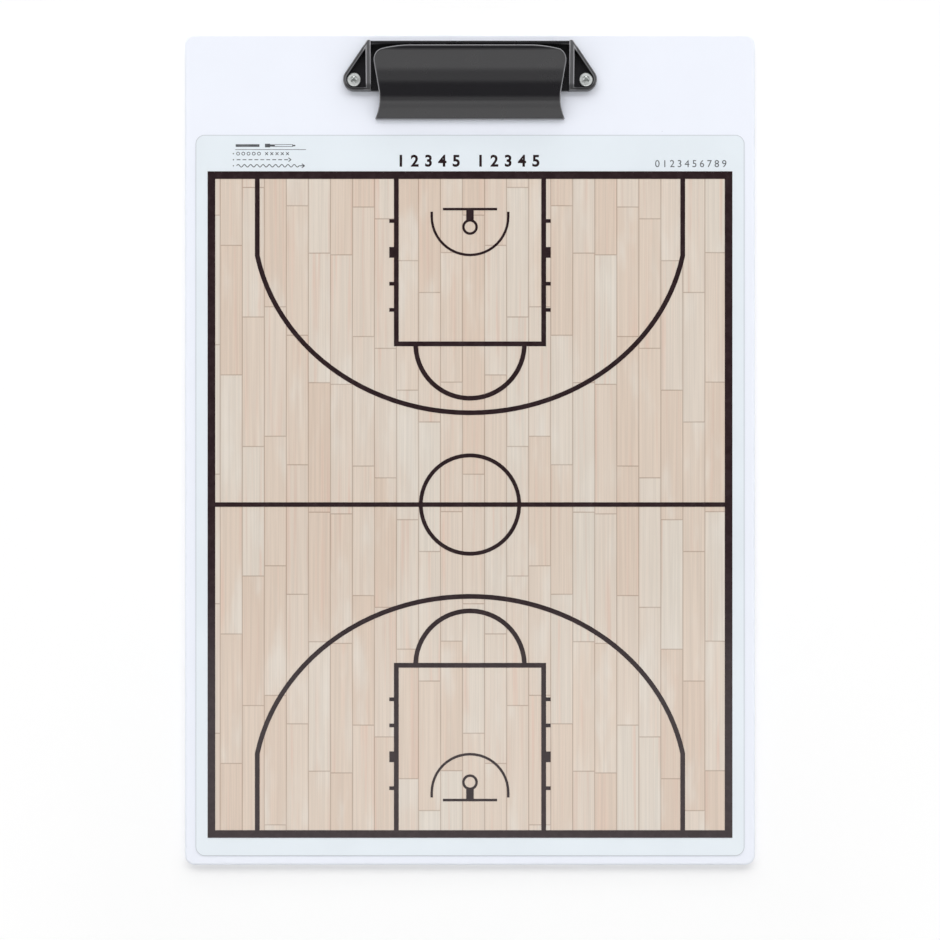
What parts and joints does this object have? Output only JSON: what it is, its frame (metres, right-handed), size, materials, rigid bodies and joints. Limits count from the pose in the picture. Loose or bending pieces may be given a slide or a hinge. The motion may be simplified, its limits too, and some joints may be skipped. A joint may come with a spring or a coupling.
{
  "type": "tactics board",
  "caption": "Flat coaching board with a printed basketball court sheet and a sprung lever clip at the top that clamps paper.",
  "frame": {"origin": "centre of the board's back face", "axes": "+X across the board, +Y along it towards the clip, +Z out of the court face"},
  "size_m": [0.24, 0.35, 0.0181],
  "materials": {
    "board_plastic": "white moulded plastic, satin",
    "sheet_film": "pale printed film, smooth",
    "floor_print": "printed wood strips, smooth",
    "line_print": "printed dark lines, smooth",
    "clip_plastic": "black moulded plastic, fine texture",
    "pin_steel": "drawn steel",
    "spring_steel": "bright spring wire",
    "screw_zinc": "bright zinc plating"
  },
  "bodies": {
    "board": {"board_panel": "board_plastic", "court_sheet": "sheet_film", "court_floor": "floor_print", "court_lines": "line_print", "clip_base": "clip_plastic", "pivot_pin": "pin_steel", "spring_left": "spring_steel", "spring_right": "spring_steel", "clip_screw_left": "screw_zinc", "clip_screw_right": "screw_zinc", "barrel_nut_left": "screw_zinc", "barrel_nut_right": "screw_zinc"},
    "lever": {"clip_lever": "clip_plastic"}
  },
  "joints": [
    {"name": "lever_hinge", "type": "hinge", "parent": "board", "child": "lever", "pos_m": [0, 0.1585, 0.0092], "axis": [-1, 0, 0], "range_deg": [0, 28], "stiffness_Nm_per_rad": 0.12, "springref_deg": -68.75, "deforming": ["spring_left", "spring_right"]}
  ]
}
